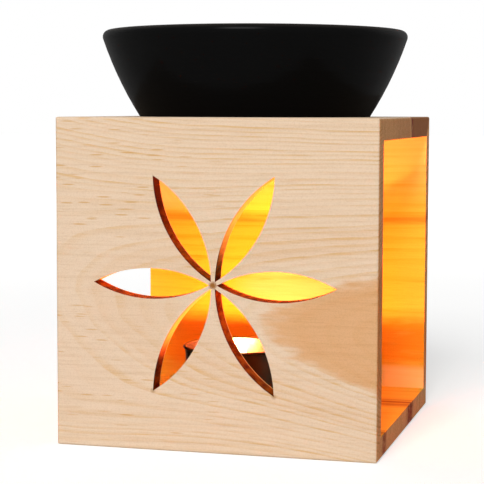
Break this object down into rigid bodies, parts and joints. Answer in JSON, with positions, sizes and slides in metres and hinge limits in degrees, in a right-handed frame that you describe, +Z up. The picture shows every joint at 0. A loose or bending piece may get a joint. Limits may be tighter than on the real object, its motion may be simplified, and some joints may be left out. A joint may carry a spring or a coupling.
{
  "type": "essential oil burner",
  "caption": "Wooden tealight oil burner: open-ended mitred sleeve with a pierced petal rosette front, a lift-out black ceramic bowl in its top and a loose tealight inside.",
  "frame": {"origin": "centre of the sleeve's underside, where it stands on a table", "axes": "+Z up; the rosette front faces -Y; the sleeve is open along X"},
  "size_m": [0.105, 0.1034, 0.135],
  "materials": {
    "wood": "fine-sanded pale wood, charred on the laser-cut petal walls",
    "black_ceramic": "matte black glaze",
    "cup_metal": "bright drawn foil",
    "wax": "paraffin wax, melted right through by the flame",
    "wick_cotton": "braided cotton, burnt at the end",
    "sustainer_tin": "tinned sheet"
  },
  "bodies": {
    "sleeve": {"front_panel": "wood", "back_panel": "wood", "top_panel": "wood", "base_panel": "wood"},
    "bowl": {"bowl": "black_ceramic"},
    "tealight": {"tealight_cup": "cup_metal", "tealight_wax": "wax", "wick": "wick_cotton", "wick_sustainer": "sustainer_tin"}
  },
  "joints": [
    {"name": "bowl_lift", "type": "slide", "parent": "sleeve", "child": "bowl", "axis": [0, 0, 1], "range_m": [0, 0.06]},
    {"name": "tealight_slide", "type": "slide", "parent": "sleeve", "child": "tealight", "axis": [1, 0, 0], "range_m": [-0.072, 0.08]}
  ]
}
